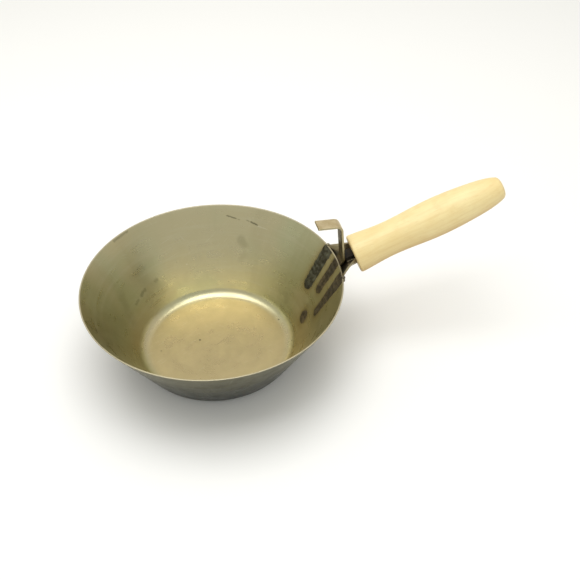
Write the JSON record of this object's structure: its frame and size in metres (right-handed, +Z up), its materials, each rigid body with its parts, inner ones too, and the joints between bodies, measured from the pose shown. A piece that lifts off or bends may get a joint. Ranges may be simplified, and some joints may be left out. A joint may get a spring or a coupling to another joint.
{
  "type": "gold pan",
  "caption": "Small conical steel pan with a turned wooden handle on a welded trough bracket, and a flat steel hook that hangs it on an edge.",
  "frame": {"origin": "centre of the flat underside, on the surface that the pan stands on", "axes": "+Z up out of the pan's mouth, +X from the pan towards the handle, +Y to the left when looking along the handle from the pan"},
  "size_m": [0.3373, 0.2026, 0.1227],
  "materials": {
    "pan_steel": "bare rolled steel, semi-gloss, faint brushed streaks",
    "bracket_steel": "bare folded steel with heat tint at the welds",
    "handle_wood": "pale turned wood, waxed",
    "forged_steel": "black forge scale",
    "strip_steel": "bare flat strip, dull",
    "weld_metal": "as-welded beads, oxidised",
    "weld_root_metal": "weld root and burnt scale"
  },
  "bodies": {
    "root": {"pan_bowl": "pan_steel", "handle_bracket": "bracket_steel", "wooden_handle": "handle_wood", "handle_tang": "forged_steel", "hanging_hook": "strip_steel", "bracket_weld_left": "weld_metal", "bracket_weld_right": "weld_metal", "bracket_tack_weld": "weld_metal", "hook_foot_welds": "weld_metal", "tang_welds": "weld_metal", "weld_root_left": "weld_root_metal", "weld_root_middle": "weld_root_metal", "weld_root_right": "weld_root_metal", "weld_root_tack": "weld_root_metal"}
  },
  "joints": []
}
